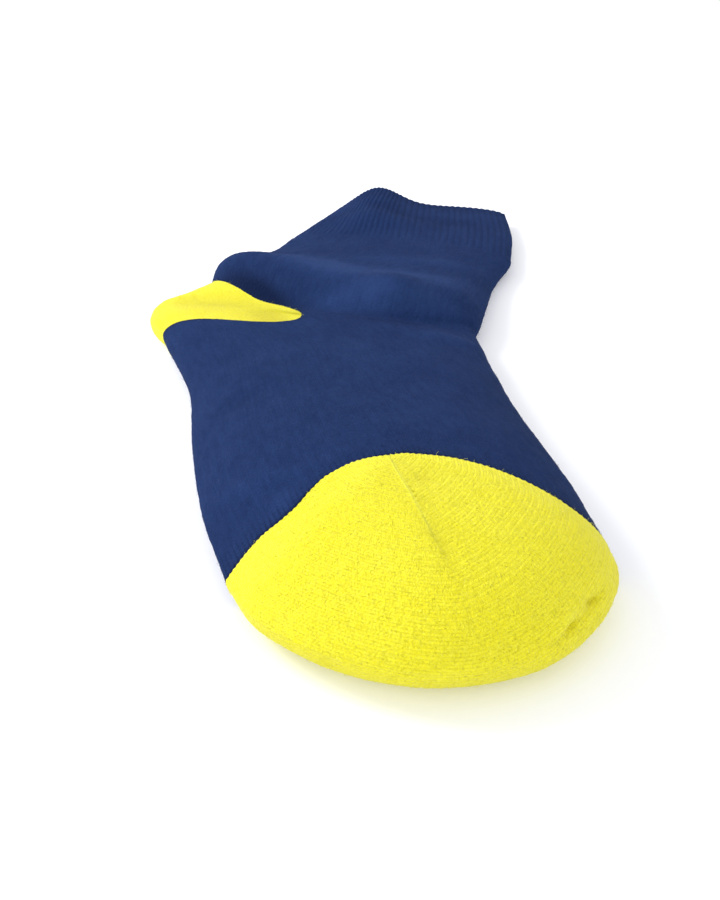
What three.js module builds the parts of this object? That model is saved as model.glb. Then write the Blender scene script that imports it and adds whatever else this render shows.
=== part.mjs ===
// Waterproof sock, filled out and lying on its side. Millimetres, +Z up.
// The toe points towards -Y, the heel towards -X, and the mouth opens towards +Y.
// Each piece is one closed wall of cloth, hollow inside, and the underside lies flat at Z = 0.
import * as THREE from 'three';

// Cloth
const WALL = 2.2;
const SEAM_GAP = 0.3;

// How far the cloth under a rim reaches in before it lies flat, for each millimetre of rim height
const UNDER_REACH = 1.15;

// How sharply a fold fades out at the rim
const FOLD_FADE = 6;

// Mesh steps
const STEPS_OVER = 11;
const STEPS_UNDER = 4;
const STEPS_TOE = 20;
const STEPS_FOOT = 13;
const STEPS_HEEL = 9;
const STEPS_LEG = 12;
const STEPS_CUFF = 5;

// Colours of the knit, its roughness, and that it holds no metal
const NAVY = 0x29395f;
const YELLOW = 0xf2e842;
const KNIT_ROUGHNESS = 0.95;
const KNIT_METALNESS = 0;

// Turns rows of values into objects with the columns' names
function table(columns, rows) {
  return rows.map((row) => Object.fromEntries(columns.map((column, i) => [column, row[i]])));
}

// Cross-sections of the tube, each over a line from its left rim through its crest to its right rim.
// A rim is the widest point of a side, and full says how square the shoulder above it is.
// A peak of 0.5 rounds the top like an arch, and 1 brings it nearer to a ridge.
// A bow is how far the line bends towards the mouth half way along its side.
const SECTION_COLUMNS = [
  'leftX', 'leftY', 'crestX', 'crestY', 'rightX', 'rightY',
  'leftBow', 'rightBow', 'crown', 'leftRim', 'rightRim', 'leftFull', 'rightFull',
  'leftPeak', 'rightPeak',
];

const FOOT_SECTIONS = table(SECTION_COLUMNS, [
  [-35, 46, 12, 70.5, 68.5, 60, -3, -2, 35.5, 10, 10, 2.4, 2.4, 0.95, 0.7],
  [-47, 83, 7, 100, 63.5, 91, 1, 1, 31.5, 9, 9, 2.6, 2.6, 0.75, 0.6],
  [-55, 121, 0, 131, 57, 122, 1.5, 1.5, 27, 8, 8, 2.8, 2.8, 0.6, 0.5],
  [-62, 160, -9, 169, 51, 159, 1, 1, 23, 8, 8, 2.8, 2.8, 0.5, 0.5],
  [-79, 206, -23, 202, 46, 203, 0, 0, 20, 8, 8, 2.8, 2.8, 0.5, 0.5],
]);

const LEG_SECTIONS = table(SECTION_COLUMNS, [
  [-66, 254, -23, 202, 46, 203, 0, 0, 20, 9, 8, 2.8, 2.8, 0.5, 0.5],
  [-63, 272, -8, 245, 53, 233, 0, 0, 20, 12, 7, 3.0, 3.0, 0.5, 0.5],
  [-45, 298, 8, 276, 61, 266, 0, 0, 16, 7, 6, 2.8, 3.0, 0.5, 0.5],
  [-35, 323, 14, 308, 72, 294, 0, 0, 13, 6, 6, 3.0, 3.0, 0.5, 0.5],
]);

const CUFF_SECTIONS = table(SECTION_COLUMNS, [
  [-35, 323, 14, 308, 72, 294, 0, 0, 13, 6, 6, 3.0, 3.0, 0.5, 0.5],
  [-24, 347, 18, 341, 77, 330, 0, 0, 12, 6, 6, 3.0, 3.0, 0.5, 0.5],
  [-13, 370, 22, 369, 78, 365, 0, 0, 11, 6, 6, 3.0, 3.0, 0.5, 0.5],
]);

// Rims of the two pockets, in order round their edge from the left or lower end of their seam
const RIM_COLUMNS = ['rimX', 'rimY', 'bow', 'rim', 'full', 'peak'];

const TOE_RIM = table(RIM_COLUMNS, [
  [-35, 46, -3, 10, 2.4, 0.95],
  [-26, 31, -0.5, 11, 2.3, 0.85],
  [-6, 17, 0, 11, 2.2, 0.75],
  [18, 11, 0, 12, 2.2, 0.65],
  [43, 17, 0, 11, 2.2, 0.6],
  [60, 32, -0.5, 11, 2.3, 0.6],
  [68.2, 47.5, -1, 10, 2.4, 0.65],
  [68.5, 60, -2, 10, 2.4, 0.7],
]);

const HEEL_RIM = table(RIM_COLUMNS, [
  [-79, 206, 0, 8, 2.8, 0.5],
  [-86, 218, 0, 8, 2.6, 0.5],
  [-86, 233, 0, 8, 2.6, 0.5],
  [-77, 244, 0, 8, 2.6, 0.5],
  [-66, 254, 0, 9, 2.8, 0.5],
]);

// Soft folds of the upper wall: a ridge has positive heights, a trough negative ones
const FOLDS = table(['fromX', 'fromY', 'toX', 'toY', 'width', 'fromHeight', 'toHeight'], [
  [-65, 269, -34, 257, 12, 7, 2],
  [-34, 248, 14, 224, 12, 2, 3.5],
  [14, 224, 42, 229, 12, 3.5, 2.5],
  [-68, 230, -23, 219, 13, -4, -4],
  [-10, 211, 43, 202, 8, -2, -3.5],
  [11, 385, 7, 340, 16, 11, 6],
]);

// Catmull-Rom value of every column of a table at a place from 0, its first row, to 1, its last
function between(rows, place) {
  const last = rows.length - 1;
  const at = Math.min(Math.max(place, 0), 1) * last;
  const index = Math.min(Math.floor(at), last - 1);
  const t = at - index;
  const value = {};
  for (const key of Object.keys(rows[0])) {
    const p1 = rows[index][key];
    const p2 = rows[index + 1][key];
    const p0 = index > 0 ? rows[index - 1][key] : 2 * p1 - p2;
    const p3 = index + 2 <= last ? rows[index + 2][key] : 2 * p2 - p1;
    const linear = p2 - p0;
    const square = 2 * p0 - 5 * p1 + 4 * p2 - p3;
    const cube = 3 * p1 - p0 - 3 * p2 + p3;
    value[key] = 0.5 * (2 * p1 + t * (linear + t * (square + t * cube)));
  }
  return value;
}

// Height that the folds add to the upper wall over a place
function foldHeight(x, y) {
  let height = 0;
  for (const fold of FOLDS) {
    const alongX = fold.toX - fold.fromX;
    const alongY = fold.toY - fold.fromY;
    const squared = alongX * alongX + alongY * alongY;
    const along = ((x - fold.fromX) * alongX + (y - fold.fromY) * alongY) / squared;
    const nearest = Math.min(Math.max(along, 0), 1);
    const away = Math.hypot(x - fold.fromX - nearest * alongX, y - fold.fromY - nearest * alongY);
    const crest = fold.fromHeight + (fold.toHeight - fold.fromHeight) * nearest;
    height += crest * Math.exp(-((away / fold.width) ** 2));
  }
  return height;
}

// One side of a cross-section, from its crest over its rim to the middle of the underside.
// The inset moves it in by the wall for the inner face.
function halfSection(crest, rim, shape, inset) {
  const points = [];
  const across = new THREE.Vector2(rim.x - crest.x, rim.y - crest.y);
  const full = across.length();
  across.normalize();
  const aside = new THREE.Vector2(-across.y, across.x).multiplyScalar(Math.sign(across.x));
  const reach = full - inset;
  const under = shape.rim * UNDER_REACH - inset;
  const plan = (out) => {
    const bend = 4 * shape.bow * (out / full) * (1 - out / full);
    return new THREE.Vector2(crest.x, crest.y).addScaledVector(across, out).addScaledVector(aside, bend);
  };
  const place = (out, z) => {
    const spot = plan(out);
    points.push(new THREE.Vector3(spot.x, spot.y, z));
  };
  for (let i = 0; i <= STEPS_OVER; i++) {
    const share = Math.sin(Math.PI / 2 * i / STEPS_OVER);
    const dome = Math.max(1 - share ** shape.full, 0) ** shape.peak;
    const spot = plan(reach * share);
    const fold = foldHeight(spot.x, spot.y) * (1 - share ** FOLD_FADE);
    place(reach * share, shape.rim + (shape.crown - inset - shape.rim) * dome + fold);
  }
  for (let i = 1; i <= STEPS_UNDER; i++) {
    const turn = Math.PI / 2 * i / STEPS_UNDER;
    place(reach - under * (1 - Math.cos(turn)), shape.rim - (shape.rim - inset) * Math.sin(turn));
  }
  place((reach - under) * 0.5, inset);
  place(0, inset);
  return points;
}

// Whole ring of a tube, from its crest over the left rim, under, and up over the right rim
function ring(section, inset) {
  const crest = { x: section.crestX, y: section.crestY };
  const sides = ['left', 'right'].map((side) => halfSection(
    crest,
    { x: section[side + 'X'], y: section[side + 'Y'] },
    {
      crown: section.crown,
      bow: section[side + 'Bow'],
      rim: section[side + 'Rim'],
      full: section[side + 'Full'],
      peak: section[side + 'Peak'],
    },
    inset,
  ));
  const back = sides[1].reverse();
  return [...sides[0], ...back.slice(1, -1)];
}

// Mesh from vertices and triangles
function geometryOf(points, faces) {
  const geometry = new THREE.BufferGeometry();
  geometry.setAttribute('position', new THREE.Float32BufferAttribute(points.flatMap((p) => [p.x, p.y, p.z]), 3));
  geometry.setIndex(faces.flat());
  geometry.computeVertexNormals();
  return geometry;
}

// Closed wall of a tube along its whole table, open inside from end to end.
// The start gap leaves room for the piece before it.
function tubeWall(sections, steps, startGap) {
  const points = [];
  const faces = [];
  const [start, next] = sections;
  const span = Math.hypot(next.crestX - start.crestX, next.crestY - start.crestY);
  const begin = startGap / span / (sections.length - 1);
  const rings = { outer: [], inner: [] };
  for (let step = 0; step <= steps; step++) {
    const section = between(sections, begin + (1 - begin) * step / steps);
    for (const [face, inset] of [['outer', 0], ['inner', WALL]]) {
      const loop = ring(section, inset);
      rings[face].push(loop.map((point) => points.push(point) - 1));
    }
  }
  const around = rings.outer[0].length;
  const quad = (a, b, c, d) => faces.push([a, b, c], [a, c, d]);
  for (let i = 0; i < around; i++) {
    const j = (i + 1) % around;
    for (let step = 0; step < steps; step++) {
      const [oa, ob] = [rings.outer[step], rings.outer[step + 1]];
      const [ia, ib] = [rings.inner[step], rings.inner[step + 1]];
      quad(oa[i], ob[i], ob[j], oa[j]);
      quad(ia[i], ia[j], ib[j], ib[i]);
    }
    const [first, last] = [0, steps];
    quad(rings.outer[first][i], rings.outer[first][j], rings.inner[first][j], rings.inner[first][i]);
    quad(rings.outer[last][i], rings.inner[last][i], rings.inner[last][j], rings.outer[last][j]);
  }
  return geometryOf(points, faces);
}

// Closed wall of a pocket: half sections turned about one crest, from one end of its seam to the other.
// The whole pocket is moved away from the seam by the gap.
function pocketWall(crest, crown, rims, steps, away) {
  const points = [];
  const faces = [];
  const fans = {};
  for (const [face, inset] of [['outer', 0], ['inner', WALL]]) {
    fans[face] = [];
    let shared = null;
    for (let step = 0; step <= steps; step++) {
      const rim = between(rims, step / steps);
      const half = halfSection(crest, { x: rim.rimX, y: rim.rimY }, { crown, ...rim }, inset);
      half.forEach((point) => point.add(away));
      if (shared === null) {
        shared = { top: points.push(half[0]) - 1, bottom: points.push(half.at(-1)) - 1 };
      }
      const middle = half.slice(1, -1).map((point) => points.push(point) - 1);
      fans[face].push([shared.top, ...middle, shared.bottom]);
    }
  }
  const last = fans.outer[0].length - 1;
  const quad = (a, b, c, d) => {
    if (a !== b && b !== c && c !== a) faces.push([a, b, c]);
    if (a !== c && c !== d && d !== a) faces.push([a, c, d]);
  };
  for (let i = 0; i < last; i++) {
    for (let step = 0; step < steps; step++) {
      const [oa, ob] = [fans.outer[step], fans.outer[step + 1]];
      const [ia, ib] = [fans.inner[step], fans.inner[step + 1]];
      quad(oa[i], oa[i + 1], ob[i + 1], ob[i]);
      quad(ia[i], ib[i], ib[i + 1], ia[i + 1]);
    }
    const [start, end] = [0, steps];
    quad(fans.outer[start][i], fans.inner[start][i], fans.inner[start][i + 1], fans.outer[start][i + 1]);
    quad(fans.outer[end][i], fans.outer[end][i + 1], fans.inner[end][i + 1], fans.inner[end][i]);
  }
  return geometryOf(points, faces);
}

// Way that a pocket moves to leave the seam gap along both halves of its seam
function awayFromSeam(crest, rims) {
  const first = new THREE.Vector2(rims[0].rimX - crest.x, rims[0].rimY - crest.y).normalize();
  const last = new THREE.Vector2(rims.at(-1).rimX - crest.x, rims.at(-1).rimY - crest.y).normalize();
  const middle = first.clone().add(last).normalize();
  const shift = SEAM_GAP / Math.abs(middle.cross(first));
  return new THREE.Vector3(middle.x * shift, middle.y * shift, 0);
}

function knit(name, geometry, color) {
  const material = new THREE.MeshStandardMaterial({
    color, roughness: KNIT_ROUGHNESS, metalness: KNIT_METALNESS,
  });
  const mesh = new THREE.Mesh(geometry, material);
  mesh.name = name;
  return mesh;
}

function toe() {
  const seam = FOOT_SECTIONS[0];
  const crest = { x: seam.crestX, y: seam.crestY };
  const geometry = pocketWall(crest, seam.crown, TOE_RIM, STEPS_TOE, awayFromSeam(crest, TOE_RIM));
  return knit('toe', geometry, YELLOW);
}

function foot() {
  return knit('foot', tubeWall(FOOT_SECTIONS, STEPS_FOOT, 0), NAVY);
}

function heel() {
  const seam = LEG_SECTIONS[0];
  const crest = { x: seam.crestX, y: seam.crestY };
  const geometry = pocketWall(crest, seam.crown, HEEL_RIM.toReversed(), STEPS_HEEL, awayFromSeam(crest, HEEL_RIM));
  return knit('heel', geometry, YELLOW);
}

function leg() {
  return knit('leg', tubeWall(LEG_SECTIONS, STEPS_LEG, SEAM_GAP), NAVY);
}

function cuff() {
  return knit('cuff', tubeWall(CUFF_SECTIONS, STEPS_CUFF, SEAM_GAP), NAVY);
}

const sock = new THREE.Group();
sock.add(toe(), foot(), heel(), leg(), cuff());

// The origin is under the middle of the whole sock
const middle = new THREE.Box3().setFromObject(sock).getCenter(new THREE.Vector3());
sock.position.set(-middle.x, -middle.y, 0);

export default sock;
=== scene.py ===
"""Looks of a waterproof sock lying on its side: its knit, folds, gore, rib and fibres."""

import math

import bmesh
import bpy
import numpy as np
from bpy.props import FloatProperty, FloatVectorProperty, IntProperty, PointerProperty
from bpy.types import Operator, Panel, PropertyGroup
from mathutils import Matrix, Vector


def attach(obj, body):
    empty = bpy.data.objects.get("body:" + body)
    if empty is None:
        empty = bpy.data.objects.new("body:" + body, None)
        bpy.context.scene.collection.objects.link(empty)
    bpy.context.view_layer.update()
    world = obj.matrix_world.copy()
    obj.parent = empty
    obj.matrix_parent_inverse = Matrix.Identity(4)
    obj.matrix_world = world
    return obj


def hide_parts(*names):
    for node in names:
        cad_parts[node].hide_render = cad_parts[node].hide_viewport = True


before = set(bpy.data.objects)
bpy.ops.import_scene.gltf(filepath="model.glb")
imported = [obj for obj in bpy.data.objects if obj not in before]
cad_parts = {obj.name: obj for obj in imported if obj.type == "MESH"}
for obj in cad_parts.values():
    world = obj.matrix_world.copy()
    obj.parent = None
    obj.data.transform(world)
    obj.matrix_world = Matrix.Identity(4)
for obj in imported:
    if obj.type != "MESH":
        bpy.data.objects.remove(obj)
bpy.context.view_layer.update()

bl_info = {
    "name": "Waterproof sock",
    "version": (1, 0, 0),
    "blender": (4, 5, 0),
    "location": "3D View > Sidebar > Sock",
    "description": "Builds the knitted surfaces of a waterproof sock on its frame",
    "category": "Object",
}

MM = 0.001
BODY = "root"

# The frame's origin, in the millimetres of the tables below
ORIGIN = np.array([-4.938, 190.425, 0.0])

# How far the cloth under a rim reaches in before it lies flat, for each millimetre of rim height
UNDER_REACH = 1.15
# How sharply a fold fades out at the rim
FOLD_FADE = 6

# Share of a side, from its crest to the middle of the underside, that has fine steps
FINE_SHARE = 0.68
COARSE_COLUMNS = 10
INNER_ROWS = 10
# Profile steps that the length of a side is measured with
PROFILE_STEPS = 240
# Gap between the colours at a seam, and how far from it the brushed surface begins, in millimetres
SEAM = 0.02
SEAM_FADE = 1.5
# How much darker the navy is in the seam's shadow, and how wide that is in millimetres
SEAM_DARK = 0.8
SEAM_LINE = 1.1
# How much painted shade darkens the gaps between wales beside the seam where a tube starts, and how far
# off
SEAM_WALES = 0.55
SEAM_WALES_REACH = 7.0
# Distance from the crest over which the toe's seam runs into the foot, and the length of a side there
ARCH_REACH = 72.0
TOE_SIDE = 122.0
ARCH_ROWS = 32
# Shares of a pocket's rays that a shift of its seam draws along
TOE_REACH = 0.2
HEEL_REACH = 0.35
# The heel's blunt tip: the length of a side there, its radius, and how far the heel reaches past
# the foot and the leg, the distance from the crest at which that drops, and over what length
HEEL_SIDE = 115.0
HEEL_TIP = 4.0
HEEL_FOOT_ARCH = (11.5, 12.0, 38.0)
HEEL_LEG_ARCH = (4.0, 8.0, 20.0)
HEEL_FOOT_ROWS = 60
HEEL_LEG_ROWS = 24
# Rays of the two pockets, and the rays over which the brushed surface begins beside a seam
TOE_RAYS = 360
TOE_FADE = 6
HEEL_RAYS = 150
HEEL_FADE = 4
# Courses from one end of the heel's seam to the other
HEEL_ROWS = 54
# Rows over which a seam's zigzag fades, how deep its teeth are in courses, at least and by chance,
# and how fast that changes with the wales
ZIGZAG_ROWS = 5.0
ZIGZAG_DEPTH = (0.1, 0.25)
ZIGZAG_CHANGE = 0.7
# Height over the table at which the relief begins, and the height over which it grows
REST_FLOOR = 0.2
REST_FADE = 3.0
# Share of a tube's length over which the direction of its cloth is measured at an end
NEAR_END = 0.01
# Steps along the line of a crease, and the share of a sine's half turn that each end leaves out
CREASE_STEPS = 25
CREASE_END = 0.1
# Width of one wale, and the height of one course for the brushed surface
WALE_PITCH = 1.75
FELT_COURSE = 1.3
# How far a loop's legs lean, in courses
LEAN = 0.6
# How uneven the loops are, at least and by chance, how fast that changes with wales and courses, and
# how high a wale is between its loops and how much its loops add
LOOP_UNEVEN = (0.4, 1.2)
LOOP_CHANGE = (1.1, 0.5)
LOOP_SHARE = (0.7, 0.6)
# Values on each side of a smooth noise before it repeats
NOISE_SIZE = 256
# Sizes across and along of the tufts and of the lumps, the coarse ones before the fine ones
TUFT_SIZES = ((0.9, 1.5), (0.5, 0.6))
LUMP_SIZES = ((9.0, 13.0), (4.0, 5.0))
# Level of the cuff's ribs that lies on the plain cloth
RIB_MIDDLE = 0.6
# Heights of the tufts and of the lumps on each piece
TOE_FELT = (0.14, 0.22)
HEEL_FELT = (0.2, 0.5)
NAVY_FELT = (0.14, 0.5)
CUFF_FELT = (0.1, 0.4)


def table(columns, rows):
    """Named columns, each an array with one value for each row."""
    return {name: np.array([row[i] for row in rows], float) for i, name in enumerate(columns)}


# Cross-sections of the tube, each over a line from its left rim through its crest to its right rim
SECTION = (
    "left_x", "left_y", "crest_x", "crest_y", "right_x", "right_y",
    "left_bow", "right_bow", "crown", "left_rim", "right_rim", "left_full", "right_full",
    "left_peak", "right_peak",
)

FOOT_SECTIONS = table(SECTION, (
    (-35, 46, 12, 70.5, 68.5, 60, -3, -2, 35.5, 10, 10, 2.4, 2.4, 0.95, 0.7),
    (-47, 83, 7, 100, 63.5, 91, 1, 1, 31.5, 9, 9, 2.6, 2.6, 0.75, 0.6),
    (-55, 121, 0, 131, 57, 122, 1.5, 1.5, 27, 8, 8, 2.8, 2.8, 0.6, 0.5),
    (-62, 160, -9, 169, 51, 159, 1, 1, 23, 8, 8, 2.8, 2.8, 0.5, 0.5),
    (-79, 206, -23, 202, 46, 203, 0, 0, 20, 8, 8, 2.8, 2.8, 0.5, 0.5),
))

LEG_SECTIONS = table(SECTION, (
    (-66, 254, -23, 202, 46, 203, 0, 0, 20, 9, 8, 2.8, 2.8, 0.5, 0.5),
    (-63, 272, -8, 245, 53, 233, 0, 0, 20, 12, 7, 3.0, 3.0, 0.5, 0.5),
    (-45, 298, 8, 276, 61, 266, 0, 0, 16, 7, 6, 2.8, 3.0, 0.5, 0.5),
    (-35, 323, 14, 308, 72, 294, 0, 0, 13, 6, 6, 3.0, 3.0, 0.5, 0.5),
))

CUFF_SECTIONS = table(SECTION, (
    (-35, 323, 14, 308, 72, 294, 0, 0, 13, 6, 6, 3.0, 3.0, 0.5, 0.5),
    (-24, 347, 18, 341, 77, 330, 0, 0, 12, 6, 6, 3.0, 3.0, 0.5, 0.5),
    (-13, 370, 22, 369, 78, 365, 0, 0, 11, 6, 6, 3.0, 3.0, 0.5, 0.5),
))

# Rims of the two pockets, anticlockwise from one end of their seam to the other
RIM = ("rim_x", "rim_y", "bow", "rim", "full", "peak")

TOE_RIM = table(RIM, (
    (-35, 46, -3, 10, 2.4, 0.95),
    (-26, 31, -0.5, 11, 2.3, 0.85),
    (-6, 17, 0, 11, 2.2, 0.75),
    (18, 11, 0, 12, 2.2, 0.65),
    (43, 17, 0, 11, 2.2, 0.6),
    (60, 32, -0.5, 11, 2.3, 0.6),
    (68.2, 47.5, -1, 10, 2.4, 0.65),
    (68.5, 60, -2, 10, 2.4, 0.7),
))

HEEL_RIM = table(RIM, (
    (-66, 254, 0, 9, 2.8, 0.5),
    (-77, 244, 0, 8, 2.6, 0.5),
    (-86, 233, 0, 8, 2.6, 0.5),
    (-86, 218, 0, 8, 2.6, 0.5),
    (-79, 206, 0, 8, 2.8, 0.5),
))

# Soft folds of the upper wall: a ridge has positive heights, a trough negative ones
FOLDS = table(("from_x", "from_y", "to_x", "to_y", "width", "from_height", "to_height"), (
    (-65, 269, -34, 257, 12, 7.0, 2.0),
    (-34, 248, 14, 224, 12, 2.0, 3.5),
    (14, 224, 42, 229, 12, 3.5, 2.5),
    (-68, 230, -23, 219, 13, -4.0, -4.0),
    (-10, 211, 43, 202, 8, -2.0, -3.5),
    (11, 385, 7, 340, 16, 11.0, 6.0),
))

# How far the toe's seam runs into the foot at even distances from the crest
TOE_ARCH = table(("left", "right"), (
    (0.0, 0.0), (6.5, 3.2), (7.0, 3.2), (2.8, 1.5), (2.8, 0.0), (1.5, 0.0), (0.0, 0.0),
))

# Ends of a crease are a place along the piece and a signed share of the way round from the crest.
# Sizes are in millimetres, and a trough has a negative height. Shade is painted shade that darkens
# the yarn, mostly in a crease's hollow, or painted light that lightens it where it is negative.
CREASE = ("from_along", "from_round", "to_along", "to_round", "width", "height", "shade")
TOE_CREASES = table(CREASE, (
    (0.730, 0.476, 0.686, 0.468, 1.0, -1.4, 0.4),
    (0.655, 0.478, 0.622, 0.486, 0.9, -1.1, 0.3),
    (0.650, 0.466, 0.610, 0.474, 1.5, 0.8, -0.2),
    (0.700, 0.450, 0.640, 0.440, 2.6, 0.5, 0.0),
    (0.740, 0.474, 0.600, 0.490, 1.2, -0.6, 0.15),
    (0.760, 0.520, 0.560, 0.535, 3.0, 0.7, 0.0),
    (0.300, 0.530, 0.250, 0.530, 2.5, -0.5, 0.1),
    (0.460, 0.090, 0.620, 0.085, 3.5, -0.35, 0.22),
))
FOOT_CREASES = table(CREASE, (
    (0.46, -0.28, 0.55, -0.35, 8.0, -0.9, 0.1),
    (0.10, -0.42, 0.03, -0.30, 3.0, -0.4, 0.0),
    (0.10, -0.20, 0.20, -0.45, 4.0, 0.5, -0.15),
    (0.86, 0.26, 0.90, 0.46, 5.0, 1.0, -0.25),
    (0.95, 0.10, 0.98, 0.44, 5.0, -0.6, 0.3),
    (0.35, 0.30, 0.60, 0.42, 9.0, -0.7, 0.1),
    (0.045, -0.25, 0.06, -0.35, 5.0, 0.5, -0.25),
    (0.70, -0.05, 0.62, 0.30, 14.0, 0.5, -0.05),
))
LEG_CREASES = table(CREASE, (
    (0.04, -0.06, 0.09, -0.40, 6.0, -0.8, 0.95),
    (0.13, 0.06, 0.12, 0.36, 8.0, 0.8, -0.7),
    (0.01, 0.10, 0.02, 0.46, 4.0, -0.4, 0.15),
    (0.38, -0.24, 0.34, 0.10, 10.0, 0.6, -1.3),
    (0.32, 0.08, 0.35, 0.40, 9.0, 0.6, -0.8),
    (0.60, -0.05, 0.66, 0.40, 8.0, 0.5, -0.25),
    (0.02, 0.30, 0.10, 0.58, 3.0, -0.8, 0.1),
))
HEEL_CREASES = table(CREASE, (
    (0.40, 0.10, 0.50, 0.40, 4.0, -0.3, 0.1),
    (0.97, 0.05, 0.92, 0.20, 4.0, -0.3, 0.6),
    (0.45, 0.12, 0.50, 0.44, 16.0, 0.0, 0.5),
))
CUFF_CREASES = table(CREASE, (
    (0.20, 0.20, 0.80, 0.25, 5.0, -0.3, 0.05),
    (0.55, -0.35, 0.50, 0.42, 6.0, -0.4, 0.2),
    (0.80, -0.10, 0.95, -0.30, 5.0, -0.3, 0.2),
    (0.94, -0.05, 0.94, 0.46, 4.5, -0.2, 0.35),
))

# The toe's gore: where it starts from the crest and points, its length, and the holes beside it
GORE_START = np.array([-4.4, -2.5])
GORE_ANGLE = math.radians(289.5)
GORE_LENGTH = 29.7
GORE_WALES_LOST = 0.9
GORE_HOLE_PITCH = 1.9
GORE_HOLE_SIDE = 1.0
GORE_HOLES_FROM = 10.5
# Length of the gore that shows as a ridge, before it fades into the knit
GORE_SHOWN = 21.5
GORE_ROWS = 73
# How much closer together the rows start at the gore's top than at its end
GORE_CROWDING = 0.3
# The first place on the gore's line at which a row may start, and the halvings that find it
GORE_LEAST = -0.2
GORE_HALVINGS = 24
# The gore's ridge and its holes: height or depth, and width
GORE_RIDGE = (0.16, 0.5)
GORE_HOLE = (0.35, 0.36)
# How much painted shade darkens the gore's holes
GORE_HOLE_SHADE = 0.9
# The gore's painted highlight: how light it is over the ridge and over the whole gore, and its width
GORE_LIGHT = (0.2, 0.35, 0.45)
# How much flatter the knit is beside the gore, and over what width
GORE_CALM = (0.7, 2.2)
# Lengths over which the gore begins, its ridge ends, its last part ends and its holes begin
GORE_START_FADE = 3
GORE_RIDGE_FADE = 5
GORE_END_FADE = 3
GORE_HOLES_FADE = 4


def between(rows, place):
    """Catmull-Rom value of every column at places from 0, the first row, to 1, the last."""
    last = len(next(iter(rows.values()))) - 1
    at = np.clip(place, 0.0, 1.0) * last
    index = np.minimum(at.astype(int), last - 1)
    t = at - index
    values = {}
    for name, column in rows.items():
        ends = [2 * column[0] - column[1]], [2 * column[-1] - column[-2]]
        padded = np.concatenate([ends[0], column, ends[1]])
        p0, p1, p2, p3 = (padded[index + k] for k in range(4))
        square = 2 * p0 - 5 * p1 + 4 * p2 - p3
        cube = 3 * p1 - p0 - 3 * p2 + p3
        values[name] = 0.5 * (2 * p1 + t * ((p2 - p0) + t * (square + t * cube)))
    return values


def fold_height(x, y):
    """Height that the folds add to the upper wall over a place."""
    height = np.zeros_like(x)
    for row in range(len(FOLDS["width"])):
        fold = {name: column[row] for name, column in FOLDS.items()}
        along_x = fold["to_x"] - fold["from_x"]
        along_y = fold["to_y"] - fold["from_y"]
        along = (x - fold["from_x"]) * along_x + (y - fold["from_y"]) * along_y
        near = np.clip(along / (along_x ** 2 + along_y ** 2), 0.0, 1.0)
        away_x = x - fold["from_x"] - near * along_x
        away_y = y - fold["from_y"] - near * along_y
        crest = fold["from_height"] + (fold["to_height"] - fold["from_height"]) * near
        height += crest * np.exp(-(away_x ** 2 + away_y ** 2) / fold["width"] ** 2)
    return height


def tube_side(rows, side):
    """Gives the cross-section of one side of a tube at any places along it."""
    def at(place):
        row = between(rows, place)
        crest = np.stack([row["crest_x"], row["crest_y"]], -1)
        rim = np.stack([row[side + "_x"], row[side + "_y"]], -1)
        shape = [row[side + name] for name in ("_bow", "_rim", "_full", "_peak")]
        return crest, rim, row["crown"], *shape
    return at


def pocket_side(seam, rows):
    """Gives the cross-section of a pocket on any of its rays, from the crest of its seam."""
    def at(place):
        row = between(rows, place)
        crest = np.broadcast_to([seam["crest_x"][0], seam["crest_y"][0]], place.shape + (2,))
        rim = np.stack([row["rim_x"], row["rim_y"]], -1)
        crown = np.full(place.shape, seam["crown"][0])
        return crest, rim, crown, row["bow"], row["rim"], row["full"], row["peak"]
    return at


def surface(section, profile, inset=0.0):
    """Points of the cloth: profile is 0 at the crest, 1 at the rim, 2 where it lies flat, 3 under."""
    crest, rim, crown, bow, height, square, peak = section
    across = rim - crest
    full = np.linalg.norm(across, axis=-1)
    across = across / full[..., None]
    aside = np.stack([-across[..., 1], across[..., 0]], -1) * np.sign(across[..., :1])
    reach = full - inset
    under = height * UNDER_REACH - inset
    share = np.sin(np.pi / 2 * np.clip(profile, 0, 1))
    turn = np.pi / 2 * np.clip(profile - 1, 0, 1)
    flat = np.clip(profile - 2, 0, 1)
    out = reach * share - under * (1 - np.cos(turn)) - (reach - under) * flat
    bend = 4 * bow * (out / full) * (1 - out / full)
    plan = crest + across * out[..., None] + aside * bend[..., None]
    dome = np.clip(1 - share ** square, 0, 1) ** peak
    fold = fold_height(plan[..., 0], plan[..., 1]) * (1 - share ** FOLD_FADE)
    z = height + (crown - inset - height) * dome + fold * (profile < 1)
    z = z - (height - inset) * np.sin(turn)
    return np.concatenate([plan, z[..., None]], -1)


def profile_places(side, along, shares):
    """Profile places at the given shares of each side's length."""
    steps = np.linspace(0, 3, PROFILE_STEPS + 1)
    places = np.broadcast_to(along[:, None], (len(along), len(steps)))
    points = surface(side(places), np.broadcast_to(steps, places.shape))
    pieces = np.linalg.norm(np.diff(points, axis=1), axis=-1)
    lengths = np.concatenate([np.zeros((len(along), 1)), np.cumsum(pieces, axis=1)], axis=1)
    return np.stack([np.interp(shares * length[-1], length, steps) for length in lengths])


def side_shares(cloth, columns_per_wale):
    """Shares of a side at which its columns lie, fine over the top and coarse underneath."""
    fine = int(cloth.side_wales * FINE_SHARE * columns_per_wale)
    over = np.linspace(0, FINE_SHARE, fine + 1)
    return np.concatenate([over, np.linspace(FINE_SHARE, 1, COARSE_COLUMNS + 1)[1:]])


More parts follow.
